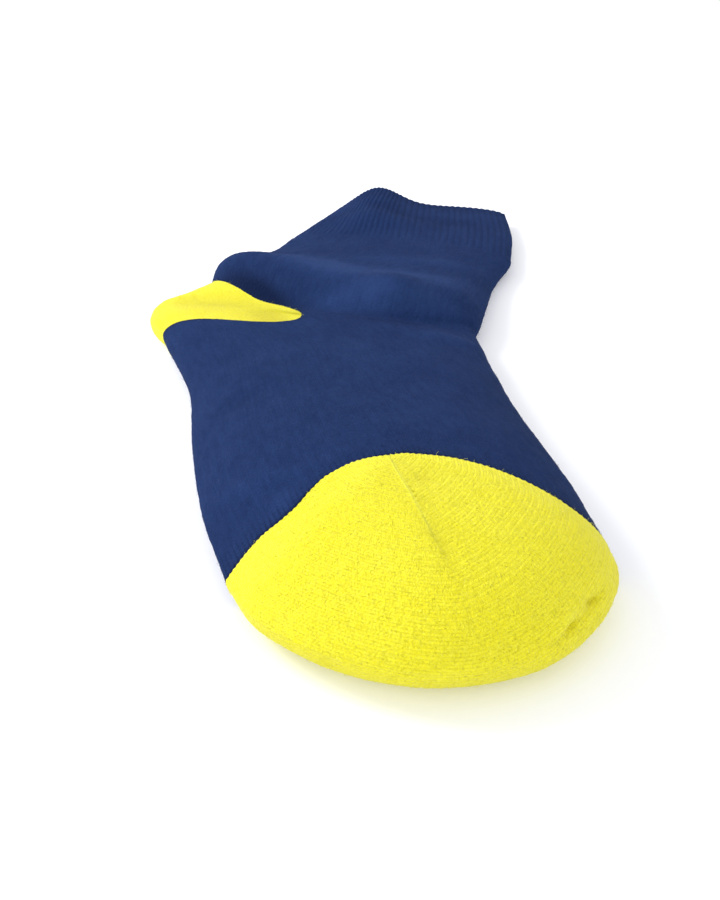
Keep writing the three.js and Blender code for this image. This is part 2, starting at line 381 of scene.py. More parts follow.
def lattice_noise(x, y, seed):
    """Smooth noise from 0 to 1 that turns over about once a unit."""
    values = np.random.default_rng(seed).random((NOISE_SIZE, NOISE_SIZE))
    column, row = np.floor(x).astype(int), np.floor(y).astype(int)
    across, along = x - column, y - row
    across, along = across * across * (3 - 2 * across), along * along * (3 - 2 * along)
    corner = [values[(row + j) % NOISE_SIZE, (column + i) % NOISE_SIZE]
              for j in (0, 1) for i in (0, 1)]
    low = corner[0] + (corner[1] - corner[0]) * across
    high = corner[2] + (corner[3] - corner[2]) * across
    return low + (high - low) * along


def double_noise(x, y, sizes, seed):
    """A coarse and a fine smooth noise together, from 0 to 1."""
    coarse, fine = (lattice_noise(x / size[0], y / size[1], seed + i) for i, size in enumerate(sizes))
    return 0.6 * coarse + 0.4 * fine


def wave(turns):
    """A wave from 0 to 1 that is highest at whole numbers."""
    return 0.5 + 0.5 * np.cos(2 * np.pi * turns)


def bell(distance, width):
    """A bump of height 1 that fades out over a width."""
    return np.exp(-(distance / width) ** 2)


def seam_zigzag(wales):
    """How far, in courses, the loops of one colour reach into the other at a seam."""
    depth = ZIGZAG_DEPTH[0] + ZIGZAG_DEPTH[1] * lattice_noise(wales * ZIGZAG_CHANGE, wales * 0.0, 5)
    return depth * (1 - np.abs(2 * (wales % 1.0) - 1))


def wale_relief(wales, cloth):
    """Height of the knit's columns of loops, in millimetres."""
    return cloth.relief * wave(wales - 0.5)


def felt_relief(wales, courses, felt):
    """Height of the brushed surface: fine tufts, and broad soft lumps."""
    x, y = wales * WALE_PITCH, courses * FELT_COURSE
    tufts, lumps = double_noise(x, y, TUFT_SIZES, 11), double_noise(x, y, LUMP_SIZES, 13)
    return felt[0] * (tufts - 0.5) + felt[1] * (lumps - 0.5)


def jersey_relief(wales, courses, cloth, felt, fade):
    """Height of jersey: wales broken into loops, and its brushed surface away from the seams."""
    middle = 2 * np.abs(wales % 1.0 - 0.5)
    loop = wave(courses - LEAN * middle)
    wale = wale_relief(wales, cloth)
    change = lattice_noise(wales * LOOP_CHANGE[0], courses * LOOP_CHANGE[1], 15)
    uneven = LOOP_UNEVEN[0] + LOOP_UNEVEN[1] * change
    loops = wale * (uneven * (LOOP_SHARE[0] + LOOP_SHARE[1] * loop) - 1)
    return wale + (loops + felt_relief(wales, courses, felt)) * fade


def rib_relief(wales, along_mm, cloth):
    """Height of the cuff's ribs, which rise over the first courses."""
    rise = np.clip(along_mm / cloth.rib_rise, 0, 1)
    return cloth.rib_height * rise * (np.sqrt(wave(wales / cloth.rib_wales)) - RIB_MIDDLE)


def navy_relief(cloth, wales, courses, fade):
    """Height of the foot's and the leg's jersey."""
    return jersey_relief(wales, courses, cloth, NAVY_FELT, fade)


def cuff_relief(cloth, wales, courses, fade):
    """Height of the cuff's ribs and of their brushed surface."""
    ribs = rib_relief(wales, courses * cloth.course_pitch, cloth)
    return ribs + felt_relief(wales, courses, CUFF_FELT) * fade


def grid_normals(points, closed):
    """Outward unit normals of a grid of points, closed round its columns or not."""
    along = np.gradient(points, axis=0)
    if closed:
        ring = np.concatenate([points[:, -2:-1], points, points[:, 1:2]], axis=1)
        round_ = (ring[:, 2:] - ring[:, :-2]) / 2
    else:
        round_ = np.gradient(points, axis=1)
    normal = np.cross(round_, along)
    size = np.linalg.norm(normal, axis=-1, keepdims=True)
    return normal / np.maximum(size, 1e-9)


def crease_relief(points, creases, surface_at):
    """Height and painted shade of the creases at each point, from the nearest place on each one's line."""
    height, shade = np.zeros(points.shape[:-1]), np.zeros(points.shape[:-1])
    steps = np.linspace(0, 1, CREASE_STEPS)
    for row in range(len(creases["width"])):
        crease = {name: column[row] for name, column in creases.items()}
        along = crease["from_along"] + (crease["to_along"] - crease["from_along"]) * steps
        round_ = crease["from_round"] + (crease["to_round"] - crease["from_round"]) * steps
        line = surface_at(along, round_)
        away = np.full(points.shape[:-1], np.inf)
        depth = np.zeros(points.shape[:-1])
        for spot, step in zip(line, steps):
            squared = ((points - spot) ** 2).sum(-1)
            closer = squared < away
            away = np.where(closer, squared, away)
            turn = CREASE_END + (1 - 2 * CREASE_END) * step
            depth = np.where(closer, np.sin(np.pi * turn), depth)
        near = depth * np.exp(-away / crease["width"] ** 2)
        height += crease["height"] * near
        shade += crease["shade"] * near
    return height, shade


class Shell:
    """Gathers the points, faces, knit coordinates and painted shade of one closed piece of cloth."""

    def __init__(self):
        self.points = []
        self.count = 0
        self.faces = []
        self.knit = []
        self.shades = []
        self.outer = []

    def add(self, points, shade=None):
        """Adds a grid of points, and gives back their indices."""
        flat = points.reshape(-1, 3)
        first = self.count
        self.points.append(flat)
        self.shades.append(np.zeros(len(flat)) if shade is None else shade.reshape(-1))
        self.count += len(flat)
        return first + np.arange(len(flat)).reshape(points.shape[:-1])

    def skin(self, index, knit, outward, outer=False):
        """Joins a grid of points with faces; a pole's repeated point gives triangles."""
        corners = [(slice(None, -1), slice(None, -1)), (slice(None, -1), slice(1, None)),
                   (slice(1, None), slice(1, None)), (slice(1, None), slice(None, -1))]
        if not outward:
            corners = corners[::-1]
        faces = np.stack([index[c] for c in corners], -1).reshape(-1, 4)
        knits = np.stack([knit[c] for c in corners], -2).reshape(-1, 4, 2)
        for face, places in zip(faces.tolist(), knits):
            kept = [k for k in range(4) if face[k] != face[k - 1]]
            if len(kept) > 2:
                self.faces.append([face[k] for k in kept])
                self.knit.append(places[kept])
                self.outer.append(outer)

    def piece(self, name, material):
        """The finished object, in metres in the frame, with smooth faces."""
        mesh = bpy.data.meshes.new(name)
        points = (np.concatenate(self.points) - ORIGIN) * MM
        mesh.from_pydata(points.tolist(), [], self.faces)
        layer = mesh.uv_layers.new(name="Knit")
        layer.data.foreach_set("uv", np.concatenate(self.knit).astype(np.float32).ravel())
        # Painted shade, which darkens the yarn, and is painted light where it is negative
        shade = mesh.attributes.new("shade", "FLOAT", "POINT")
        shade.data.foreach_set("value", np.concatenate(self.shades).astype(np.float32))
        outer = mesh.attributes.new("outer", "BOOLEAN", "FACE")
        outer.data.foreach_set("value", self.outer)
        mesh.polygons.foreach_set("use_smooth", [True] * len(mesh.polygons))
        mesh.materials.append(material)
        mesh.update()
        piece = bpy.data.objects.new(name, mesh)
        bpy.context.collection.objects.link(piece)
        return piece


def ring_knit(wales, courses):
    """Knit coordinates of a grid."""
    return np.stack(np.broadcast_arrays(wales, courses), -1)


def whole_ring(shares):
    """Signed shares of a whole ring, from under the left side to under the right side."""
    return np.concatenate([-shares[:0:-1], shares])


def rest_fade(points):
    """How much of its relief the cloth has at each point: none where it lies on the table."""
    return np.clip((points[..., 2] - REST_FLOOR) / REST_FADE, 0, 1)


def fading(steps, rows):
    """1 on the first row, and down to 0 over a number of rows."""
    return np.clip(1 - np.arange(steps) / rows, 0, 1)[:, None]


def spots_on(section, side_of, places, round_):
    """Points of the cloth at places along it and signed shares of the way round from the crest."""
    profile = [profile_places(side_of(r), np.array([p]), np.array([abs(r)]))[0, 0]
               for p, r in zip(places, round_)]
    return surface(section(places), np.array(profile))


def signed_section(rows, signed):
    """Cross-section places of a whole ring: negative shares lie on the left side."""
    left, right = tube_side(rows, "left"), tube_side(rows, "right")

    def at(place):
        both = zip(left(place), right(place))
        pick = signed < 0
        return [np.where(pick[..., None] if a.ndim > place.ndim else pick, a, b) for a, b in both]
    return at


def tube_grid(rows, along, shares, shift=None, inset=0.0):
    """Points of whole rings, from under the left side, over the crest, to under the right side."""
    left = profile_places(tube_side(rows, "left"), along, shares)
    right = profile_places(tube_side(rows, "right"), along, shares)
    profile = np.concatenate([left[:, :0:-1], right], axis=1)
    place = np.broadcast_to(along[:, None], profile.shape)
    if shift is not None:
        place = place + shift
    wide = np.broadcast_to(whole_ring(shares), profile.shape)
    return surface(signed_section(rows, wide)(place), profile, inset)


def crest_length(rows):
    """Length of a tube along its crest, in millimetres."""
    steps = np.stack([np.diff(rows["crest_x"]), np.diff(rows["crest_y"])], -1)
    return np.linalg.norm(steps, axis=-1).sum()


def seam_arch(signed):
    """How far the toe's seam runs into the foot at each share of the way round, in millimetres."""
    arch = between(TOE_ARCH, np.abs(signed) * TOE_SIDE / ARCH_REACH)
    return np.where(signed < 0, arch["left"], arch["right"])


def heel_arch(signed, depth, low, fade):
    """How far the heel's colour reaches past the end of a tube beside it, in millimetres."""
    out = np.abs(signed) * HEEL_SIDE
    drop = 0.5 + 0.5 * np.cos(np.pi * np.clip((out - low) / fade, 0, 1))
    return np.where(signed < 0, depth * (1 - np.exp(-out / HEEL_TIP)) * drop, 0.0)


def edge_shift(rows, signed, steps, cloth, start, end):
    """Moves the rings next to a colour seam, so that the two colours' loops interlock."""
    length = crest_length(rows)
    wales = signed * cloth.side_wales
    reach = (SEAM + cloth.course_pitch * seam_zigzag(wales)) / length
    fade = fading(steps, ZIGZAG_ROWS)
    shift = fade * reach * start - fade[::-1] * reach * end
    if rows is FOOT_SECTIONS:
        shift += fading(steps, ARCH_ROWS) ** 2 * seam_arch(signed) / length
        shift -= fading(steps, HEEL_FOOT_ROWS)[::-1] ** 2 * heel_arch(signed, *HEEL_FOOT_ARCH) / length
    if rows is LEG_SECTIONS:
        shift += fading(steps, HEEL_LEG_ROWS) ** 2 * heel_arch(signed, *HEEL_LEG_ARCH) / length
    return shift


def tube_shell(rows, cloth, start, end, creases, relief):
    """Closed wall of a tube. Start and end say which columns meet another colour."""
    length = crest_length(rows)
    steps = int(length / cloth.row_step)
    along = np.linspace(0, 1, steps + 1)
    shares = side_shares(cloth, cloth.columns_per_wale)
    signed = whole_ring(shares)
    shift = edge_shift(rows, signed, steps + 1, cloth, start(signed), end(signed))
    base = tube_grid(rows, along, shares, shift)
    normals = grid_normals(base, closed=True)
    wales = signed * cloth.side_wales
    courses = (along[:, None] + shift) * length / cloth.course_pitch

    def side_of(share):
        return tube_side(rows, "left" if share < 0 else "right")

    def surface_at(places, round_):
        return spots_on(signed_section(rows, round_), side_of, places, round_)

    wide = np.broadcast_to(wales, courses.shape)
    ends = np.minimum(along, 1 - along)[:, None] * length
    height = relief(cloth, wide, courses, np.clip(ends / SEAM_FADE, 0, 1))
    # Painted shade in the creases, with painted light where their shade is negative, in the seam's shadow,
    # and in the gaps between wales beside the first seam
    folded, shade = crease_relief(base, creases, surface_at)
    away = along[:, None] * length
    shade += SEAM_DARK * bell(away, SEAM_LINE) * start(signed)
    shade += SEAM_DARK * bell(length - away, SEAM_LINE) * end(signed)
    shade += SEAM_WALES * wave(wales) * bell(away, SEAM_WALES_REACH) * start(signed)
    height = (height + folded) * rest_fade(base)
    outer_points = base + normals * height[..., None]
    shell = Shell()
    outer = shell.add(outer_points[:, :-1], shade[:, :-1])
    outer = np.concatenate([outer, outer[:, :1]], axis=1)
    shell.skin(outer, ring_knit(wales, courses), outward=True, outer=True)
    few = np.linspace(0, steps, INNER_ROWS + 1).round().astype(int)
    inner_points = tube_grid(rows, along[few], shares, shift[few], cloth.wall)
    inner = shell.add(inner_points[:, :-1])
    inner = np.concatenate([inner, inner[:, :1]], axis=1)
    shell.skin(inner, ring_knit(wales, courses[few]), outward=False)
    ends = ring_knit(wales, np.array([[0.0], [cloth.wall / cloth.course_pitch]]))
    shell.skin(np.stack([inner[0], outer[0]]), ends, outward=True)
    shell.skin(np.stack([outer[-1], inner[-1]]), ends, outward=True)
    return shell


def pocket_grid(side, along, shares, inset=0.0):
    """Points of a pocket's rays, from the crest over the rim to under the crest."""
    profile = profile_places(side, along, shares)
    place = np.broadcast_to(along[:, None], profile.shape)
    return surface(side(place), profile, inset)


def toe_angles(along):
    """Directions of the toe's rays on the table, from the crest of its seam."""
    row = between(TOE_RIM, along)
    angle = np.arctan2(row["rim_y"] - FOOT_SECTIONS["crest_y"][0],
                       row["rim_x"] - FOOT_SECTIONS["crest_x"][0])
    return np.where(angle < math.pi / 2, angle + 2 * math.pi, angle)


def toe_knit(cloth, along, shares):
    """Knit coordinates of the toe, whose rows start on its gore and turn with it."""
    angle = np.broadcast_to(toe_angles(along)[:, None], (len(along), len(shares)))
    wales = np.broadcast_to(shares * cloth.side_wales, angle.shape)
    length = GORE_LENGTH / WALE_PITCH
    spot = np.stack([wales * np.cos(angle), wales * np.sin(angle)], -1) - GORE_START / WALE_PITCH
    way = np.array([math.cos(GORE_ANGLE), math.sin(GORE_ANGLE)])
    before = way[0] * spot[..., 1] - way[1] * spot[..., 0] < 0
    edge = np.where(before, *toe_angles(np.array([0.0, 1.0])))
    low, high = np.full(angle.shape, GORE_LEAST), np.ones(angle.shape)

    def miss(k):
        turn = edge + (GORE_ANGLE - edge) * k
        away = spot - way * (length * k)[..., None]
        value = np.cos(turn) * away[..., 1] - np.sin(turn) * away[..., 0]
        return np.where(before, value, -value)

    for _ in range(GORE_HALVINGS):
        middle = (low + high) / 2
        ahead = miss(middle) > 0
        low = np.where(ahead, middle, low)
        high = np.where(ahead, high, middle)
    k = (low + high) / 2
    away = np.linalg.norm(spot - way * (length * k)[..., None], axis=-1)
    share = k * (1 - GORE_CROWDING * k) / (1 - GORE_CROWDING)
    row = np.where(before, share, 2 - share) * GORE_ROWS
    return np.stack([away + GORE_WALES_LOST * length * k, row], -1)


def heel_knit(cloth, along, shares):
    """Knit coordinates of the heel, whose rows fan out from the crest."""
    rows = along[:, None] * HEEL_ROWS * np.ones(shares.shape)
    return np.stack([shares * cloth.side_wales * np.ones(rows.shape), rows], -1)


def pocket_relief(cloth, along, knits, rays, fade, felt):
    """Height of a pocket's jersey, whose brushed surface begins a few rays from its seams."""
    ray = np.minimum(along, 1 - along)[:, None] * rays
    return jersey_relief(knits[..., 0], knits[..., 1], cloth, felt, np.clip(ray / fade, 0, 1))


def toe_relief(cloth, along, shares):
    """Height and painted shade of the toe's knit, with its gore's ridge and holes and the gore's painted
    highlight.
    """
    height = pocket_relief(cloth, along, toe_knit(cloth, along, shares), TOE_RAYS, TOE_FADE, TOE_FELT)
    angle, out = toe_angles(along)[:, None], shares * cloth.side_wales * WALE_PITCH
    x, y = out * np.cos(angle) - GORE_START[0], out * np.sin(angle) - GORE_START[1]
    way = math.cos(GORE_ANGLE), math.sin(GORE_ANGLE)
    down, beside = x * way[0] + y * way[1], way[0] * y - way[1] * x
    top = np.clip(down / GORE_START_FADE, 0, 1)
    shown = top * np.clip((GORE_SHOWN - down) / GORE_RIDGE_FADE, 0, 1)
    whole = top * np.clip((GORE_LENGTH + 1 - down) / GORE_END_FADE, 0, 1)
    ridge = GORE_RIDGE[0] * bell(beside, GORE_RIDGE[1]) * shown
    # A painted highlight along the gore, and painted shade in its holes
    light = bell(beside, GORE_LIGHT[2]) * (GORE_LIGHT[0] * shown + GORE_LIGHT[1] * whole)
    holes = np.clip((down - GORE_HOLES_FROM) / GORE_HOLES_FADE, 0, 1) * shown
    pit = bell(beside - GORE_HOLE_SIDE, GORE_HOLE[1]) * holes
    pit = pit * np.clip(np.cos(2 * np.pi * down / GORE_HOLE_PITCH), 0, 1)
    calm = 1 - GORE_CALM[0] * bell(beside, GORE_CALM[1]) * whole
    return height * calm + ridge - GORE_HOLE[0] * pit, GORE_HOLE_SHADE * pit - light


def heel_relief(cloth, along, shares):
    """Height and shade of the heel's knit."""
    knits = heel_knit(cloth, along, shares)
    height = pocket_relief(cloth, along, knits, HEEL_RAYS, HEEL_FADE, HEEL_FELT)
    return height, np.zeros(height.shape)


def pocket_shell(side, seams, cloth, steps, shares, knit, relief, creases, draw):
    """Closed wall of a pocket. Seams are the points of its first and last ray, outer and inner."""
    along = np.linspace(0, 1, steps + 1)
    base = pocket_grid(side, along, shares)
    normals = grid_normals(base, closed=False)
    normals[:, 0] = (0, 0, 1)
    normals[:, -1] = (0, 0, -1)

    def surface_at(places, round_):
        return spots_on(side, lambda share: side, places, round_)

    # The relief's and the creases' painted shade, which is painted light where it is negative
    height, shade = relief(cloth, along, shares)
    folded, dark = crease_relief(base, creases, surface_at)
    height, shade = (height + folded) * rest_fade(base), shade + dark
    outer_points = base + normals * height[..., None]
    reach = fading(steps + 1, steps * draw)[..., None] ** 2
    moves = seams["outer"][0] - outer_points[0], seams["outer"][1] - outer_points[-1]
    outer_points = outer_points + reach * moves[0] + reach[::-1] * moves[1]
    shell = Shell()
    knits = knit(cloth, along, shares)

    def poled(index):
        index = index.copy()
        index[:, 0] = index[0, 0]
        index[:, -1] = index[0, -1]
        return index

    outer = poled(shell.add(outer_points, shade))
    shell.skin(outer, knits, outward=True, outer=True)
    few = np.linspace(0, steps, INNER_ROWS + 1).round().astype(int)
    inner_points = pocket_grid(side, along[few], shares, cloth.wall)
    inner_points[0], inner_points[-1] = seams["inner"]
    inner = poled(shell.add(inner_points))
    shell.skin(inner, knits[few], outward=False)
    shell.skin(np.stack([inner[0], outer[0]]), knits[:2], outward=True)
    shell.skin(np.stack([outer[-1], inner[-1]]), knits[-2:], outward=True)
    return shell


def drop_unused(piece):
    """Deletes the points of the poles that no face uses, and sharpens the edges at the seams."""
    work = bmesh.new()
    work.from_mesh(piece.data)
    loose = [v for v in work.verts if not v.link_faces]
    bmesh.ops.delete(work, geom=loose, context="VERTS")
    layer = work.faces.layers.bool.get("outer")
    for edge in work.edges:
        if len(edge.link_faces) == 2 and edge.link_faces[0][layer] != edge.link_faces[1][layer]:
            edge.smooth = False
    work.to_mesh(piece.data)
    work.free()


# Materials

# Yarns: how deep the painted shade of the gaps and the colour of the tufts, pits and fibres are, how
# strong the broad patches and the streaks along the wales are, the bump's height in metres, and the gloss
YELLOW_YARN = dict(
    gaps=0.5, tufts=1.3, pits=0.15, fibres=0.9, broad=0.4, streaks=0.3, bump=0.0004,
    sheen=0.12, rough=0.55, specular=0.12)
NAVY_YARN = dict(
    gaps=0.35, tufts=0.8, pits=0.25, fibres=0.6, broad=0.85, streaks=0.9, bump=0.0002,
    sheen=0.04, rough=0.9, specular=0.05)
YELLOW_SHEEN_TINT = (1.0, 1.0, 0.9)
SHEEN_ROUGHNESS = 0.45
# Values of the noises that neither darken nor lighten the yarn
EVEN_TUFTS = 0.57
EVEN_NOISE = 0.5
# Share of the light colour in an even stretch of yarn
EVEN_TONE = 0.175
# Scales of the yarn's noises, for each metre, and the steps between which pits and fibres show
TUFT_SCALE = 1900.0
PIT_SCALE = 1400.0
PIT_STEP = (0.56, 0.72)
FIBRE_SCALE = 1500.0
FIBRE_STEP = (0.54, 0.70)
BROAD_SCALE = 60.0
# How the noises of tufts and of streaks stretch over a wale and a course
TUFT_STRETCH = (1.9, 0.75, 1.0)
STREAK_STRETCH = (0.8, 0.14, 1.0)
# How much the loops, the tufts and the pits raise the bump
LOOP_RISE = 0.4
TUFT_RISE = 2.0
PIT_RISE = -0.4
# Unevenness of the loops in the bump and its scale, the least and the added height of a loop, and
# how sharply the gaps between loops begin
LOOP_SHIFT = 0.12
LOOP_SHIFT_SCALE = 0.9
LOOP_HEIGHT = (0.7, 0.3)
GAP_POWER = 3.0
# How dark the darker patches of the fibres and of the table are, and the patches' scale for a metre
FIBRE_DARK = 0.75
FIBRE_TONE_SCALE = 400.0
TABLE_DARK = 0.985
TABLE_TONE_SCALE = 30.0
# Roughness and specular level
FIBRE_GLOSS = (0.8, 0.2)
TABLE_GLOSS = (0.9, 0.1)


def make_group(name, inputs, outputs):
    """A new shader node group with named sockets, and its two end nodes."""
    group = bpy.data.node_groups.new(name, "ShaderNodeTree")
    for label, kind, default in inputs:
        socket = group.interface.new_socket(label, in_out="INPUT", socket_type=kind)
        if default is not None:
            socket.default_value = default
    for label, kind in outputs:
        group.interface.new_socket(label, in_out="OUTPUT", socket_type=kind)
    return group, group.nodes.new("NodeGroupInput"), group.nodes.new("NodeGroupOutput")


def add_node(tree, kind, values=None, **settings):
    """A new node with its settings, and its inputs set to values or linked from sockets."""
    node = tree.nodes.new(kind)
    for name, value in settings.items():
        setattr(node, name, value)
    return feed(tree, node, values or {})


def feed(tree, node, values):
    """Sets each named input of a node to a value, or links it from a socket."""
    for name, value in values.items():
        if isinstance(value, bpy.types.NodeSocket):
            tree.links.new(value, node.inputs[name])
        else:
            node.inputs[name].default_value = value
    return node


def math_node(tree, operation, *values):
    """Result of a sum on values and sockets."""
    return add_node(tree, "ShaderNodeMath", dict(enumerate(values)), operation=operation).outputs[0]


def clamped(tree, value):
    """A socket's value kept between 0 and 1."""
    return math_node(tree, "MINIMUM", math_node(tree, "MAXIMUM", value, 0.0), 1.0)


def vector_node(tree, operation, values):
    """Result of a sum on vectors."""
    return add_node(tree, "ShaderNodeVectorMath", values, operation=operation).outputs[0]


def noise_node(tree, vector, scale, detail=2.0, rough=0.5, warp=0.0):
    """A noise texture over a vector."""
    values = {"Vector": vector, "Scale": scale, "Detail": detail, "Roughness": rough, "Distortion": warp}
    return add_node(tree, "ShaderNodeTexNoise", values)


def loops_group():
    """Loops of a jersey knit: two legs lean together in each wale, and a course is one loop high."""
    inputs = (("Knit", "NodeSocketVector", None), ("Unevenness", "NodeSocketFloat", LOOP_SHIFT))
    outputs = (("Height", "NodeSocketFloat"), ("Gap", "NodeSocketFloat"))
    group, start, end = make_group("Jersey loops", inputs, outputs)
    noise = noise_node(group, start.outputs["Knit"], LOOP_SHIFT_SCALE)
    centred = vector_node(group, "SUBTRACT", {0: noise.outputs["Color"], 1: (EVEN_NOISE,) * 3})
    moved = vector_node(group, "SCALE", {0: centred, "Scale": start.outputs["Unevenness"]})
    place = vector_node(group, "ADD", {0: start.outputs["Knit"], 1: moved})
    split = add_node(group, "ShaderNodeSeparateXYZ", {0: place})
    part = math_node(group, "FRACT", split.outputs["X"])
    side = math_node(group, "ABSOLUTE", math_node(group, "SUBTRACT", part, 0.5))
    side = math_node(group, "MULTIPLY", side, 2.0)
    offset = math_node(group, "MULTIPLY_ADD", side, 2.0, -1.0)
    leg = math_node(group, "SUBTRACT", 1.0, math_node(group, "MULTIPLY", offset, offset))
    leg = math_node(group, "SQRT", math_node(group, "MAXIMUM", leg, 0.0))
    phase = math_node(group, "SUBTRACT", split.outputs["Y"], math_node(group, "MULTIPLY", side, LEAN))
    wave = math_node(group, "COSINE", math_node(group, "MULTIPLY", phase, 2 * math.pi))
    loop = math_node(group, "MULTIPLY_ADD", wave, LOOP_HEIGHT[1], LOOP_HEIGHT[0])
    height = math_node(group, "MULTIPLY", leg, loop)
    # The gap is where painted shade darkens the yarn between loops
    gap = math_node(group, "POWER", math_node(group, "SUBTRACT", 1.0, height), GAP_POWER)
    feed(group, end, {"Height": height, "Gap": gap})
    return group


def yarn_group():
    """Brushed yarn on knit coordinates: tufts, the pits between them and bright loose fibres."""
    inputs = (("Knit", "NodeSocketVector", None), ("Position", "NodeSocketVector", None))
    names = ("Tufts", "Pits", "Fibres", "Broad", "Streaks")
    outputs = [(name, "NodeSocketFloat") for name in names]
    group, start, end = make_group("Brushed yarn", inputs, outputs)
    knit, place = start.outputs["Knit"], start.outputs["Position"]

    def noise(vector, *values):
        return noise_node(group, vector, *values).outputs["Fac"]

    def above(value, step):
        values = {"Value": value, "From Min": step[0], "From Max": step[1]}
        return add_node(group, "ShaderNodeMapRange", values).outputs["Result"]

    def stretched(stretch):
        return vector_node(group, "MULTIPLY", {0: knit, 1: stretch})

    along = noise(stretched(TUFT_STRETCH), 1.0, 2.0, 0.6, 0.6)
    fine = math_node(group, "MULTIPLY", noise(place, TUFT_SCALE, 2.0, 0.6, 0.8), 0.5)
    feed(group, end, {
        "Tufts": math_node(group, "MULTIPLY_ADD", along, 0.5, fine),
        "Pits": above(noise(place, PIT_SCALE, 1.0, 0.5, 0.5), PIT_STEP),
        "Fibres": above(noise(place, FIBRE_SCALE, 1.0, 0.5, 2.5), FIBRE_STEP),
        "Broad": noise(place, BROAD_SCALE, 3.0, 0.5),
        "Streaks": noise(stretched(STREAK_STRETCH), 1.0, 2.0, 0.6),
    })
    return group


def mix_colour(tree, first, second, factor):
    """A mix of two colours, each a socket or a value, by a factor from a socket."""
    values = {"Factor": factor}
    for name, colour in (("A", first), ("B", second)):
        values[name] = colour if isinstance(colour, bpy.types.NodeSocket) else (*colour, 1.0)
    return add_node(tree, "ShaderNodeMix", values, data_type="RGBA").outputs["Result"]


def new_material(name, rough, specular):
    """A new material, its node tree, its shader, and the coordinates of its object."""
    material = bpy.data.materials.new(name)
    material.use_nodes = True
    tree = material.node_tree
    shader = tree.nodes["Principled BSDF"]
    feed(tree, shader, {"Roughness": rough, "Specular IOR Level": specular})
    return material, tree, shader, tree.nodes.new("ShaderNodeTexCoord").outputs["Object"]


def place_group(tree, name, make, values):
    """A shared node group placed in a material, made the first time it is asked for."""
    group = bpy.data.node_groups.get(name) or make()
    return add_node(tree, "ShaderNodeGroup", values, node_tree=group).outputs


def knit_material(name, colours, yarn, tint):
    """Knitted cloth of one yarn, with painted shade and light, darker pits and lighter loose fibres."""
    colour, shadow, light = colours
    material, tree, shader, place = new_material(name, yarn["rough"], yarn["specular"])
    feed(tree, shader, {
        "Sheen Weight": yarn["sheen"], "Sheen Roughness": SHEEN_ROUGHNESS, "Sheen Tint": (*tint, 1.0)})
    knit = add_node(tree, "ShaderNodeUVMap", uv_map="Knit").outputs["UV"]
    loops = place_group(tree, "Jersey loops", loops_group, {"Knit": knit})
    felt = place_group(tree, "Brushed yarn", yarn_group, {"Knit": knit, "Position": place})
    # Painted shade of the creases, seams and gore, which is painted light where it is negative
    painted_shade_and_light = add_node(tree, "ShaderNodeAttribute", attribute_name="shade").outputs["Fac"]

    def add(value, weight, rest):
        return math_node(tree, "MULTIPLY_ADD", value, weight, rest)

    # Painted shade: the gaps between loops and the painted shade above mix toward the shadow colour, with
    # the darker tufts and pits
    gaps = add(loops["Gap"], yarn["gaps"], painted_shade_and_light)
    gaps = add(math_node(tree, "SUBTRACT", EVEN_TUFTS, felt["Tufts"]), yarn["tufts"], gaps)
    gaps = add(felt["Pits"], yarn["pits"], gaps)
    tone = add(felt["Broad"], yarn["broad"], EVEN_TONE - EVEN_NOISE * yarn["broad"])
    tone = add(math_node(tree, "SUBTRACT", felt["Streaks"], EVEN_NOISE), yarn["streaks"], tone)
    tone = add(felt["Fibres"], yarn["fibres"], tone)
    # Negative painted shade is painted light, which mixes toward the light colour
    tone = math_node(tree, "ADD", tone, math_node(tree, "MAXIMUM", add(painted_shade_and_light, -1.0, 0.0), 0.0))
    base = mix_colour(tree, colour, light, clamped(tree, tone))
    rise = math_node(tree, "MULTIPLY", loops["Height"], LOOP_RISE)
    rise = add(felt["Pits"], PIT_RISE, add(felt["Tufts"], TUFT_RISE, rise))
    raised = add_node(tree, "ShaderNodeBump", {"Strength": 1.0, "Distance": yarn["bump"], "Height": rise})
    feed(tree, shader, {
        "Base Color": mix_colour(tree, base, shadow, clamped(tree, gaps)), "Normal": raised.outputs[0]})
    return material


def fibre_material(name, colour):
    """Loose fibres of one yarn, a little uneven in tone."""
    material, tree, shader, place = new_material(name, *FIBRE_GLOSS)
    tone = noise_node(tree, place, FIBRE_TONE_SCALE).outputs["Fac"]
    dark = [FIBRE_DARK * c for c in colour]
    feed(tree, shader, {"Base Color": mix_colour(tree, dark, colour, tone)})
    return material


def floor_material(colour, glow):
    """A pale matt table that light comes up through."""
    material, tree, shader, place = new_material("pale_table", *TABLE_GLOSS)
    tone = noise_node(tree, place, TABLE_TONE_SCALE).outputs["Fac"]
    dark = [TABLE_DARK * c for c in colour]
    feed(tree, shader, {
        "Base Color": mix_colour(tree, colour, dark, tone),
        "Emission Color": (1.0, 1.0, 1.0, 1.0), "Emission Strength": glow})
    return material


def cached_material(name, make, *values):
    """A material that is made the first time it is asked for."""
    return bpy.data.materials.get(name) or make(name, *values)


def navy_cloth(looks, name):
    """A navy knit of a given name."""
    colours = looks.navy, looks.navy_shadow, looks.navy_light
    return cached_material(name, knit_material, colours, NAVY_YARN, looks.navy_light)


def yellow_cloth(looks):
    """The yellow knit."""
    colours = looks.yellow, looks.yellow_shadow, looks.yellow_light
    return cached_material("yellow_jersey", knit_material, colours, YELLOW_YARN, YELLOW_SHEEN_TINT)


# Settings

def number(name, description, default, **options):
    """A setting that is a number."""
    return FloatProperty(name=name, description=description, default=default, **options)


def colour(name, description, *default):
    """A setting that is a colour."""
    return FloatVectorProperty(name=name, description=description, subtype="COLOR", default=default)


